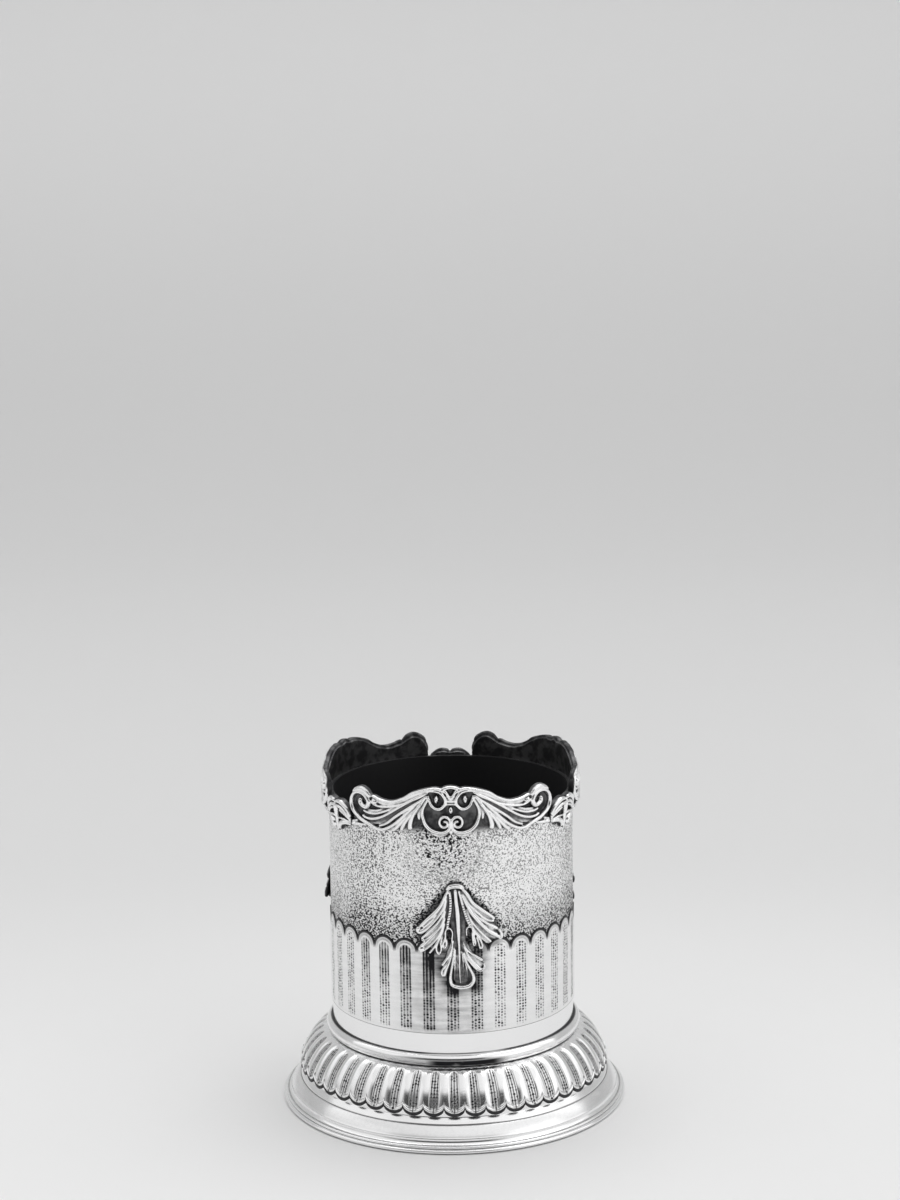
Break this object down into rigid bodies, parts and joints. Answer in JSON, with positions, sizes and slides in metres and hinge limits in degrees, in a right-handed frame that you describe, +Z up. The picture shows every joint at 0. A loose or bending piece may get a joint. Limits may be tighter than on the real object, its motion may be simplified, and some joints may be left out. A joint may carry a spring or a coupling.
{
  "type": "wine bottle coaster",
  "caption": "Silver wine bottle coaster: a deep cylinder on a fluted domed foot, with an arched lappet band, applied acanthus leaves and a cast scroll rim.",
  "frame": {"origin": "on the table under the middle of the foot", "axes": "+Z up along the axis of the well; -Y is the front, through the middle of a scroll casting and its leaf"},
  "size_m": [0.12, 0.12, 0.1215],
  "materials": {
    "silver_polished": "mirror polished sterling silver",
    "silver_plain": "plain spun silver, not polished",
    "silver_grained": "silver with a punched grain, oxidised in its pits",
    "silver_lappet": "polished silver with rows of punched dots and a dark line round each arch",
    "silver_fluted": "polished silver with oxidised, punched flutes",
    "silver_cast": "cast silver, polished on its ribs and black in its grounds",
    "dark_lining": "satin black lining",
    "well_pad": "black baize",
    "base_felt": "near-black felt"
  },
  "bodies": {
    "root": {"foot_edge_wire": "silver_polished", "foot_moulding": "silver_polished", "base_plate": "silver_plain", "base_felt": "base_felt", "fluted_dome": "silver_fluted", "collar_ring": "silver_polished", "body_wall": "silver_grained", "lappet_band": "silver_lappet", "floor_plate": "silver_plain", "floor_pad": "well_pad", "wall_lining": "dark_lining", "rim_scroll_front": "silver_cast", "rim_scroll_right": "silver_cast", "rim_scroll_left": "silver_cast", "rim_husk_right": "silver_cast", "rim_husk_back": "silver_cast", "rim_husk_left": "silver_cast", "leaf_front": "silver_cast", "leaf_right": "silver_cast", "leaf_left": "silver_cast"}
  },
  "joints": []
}
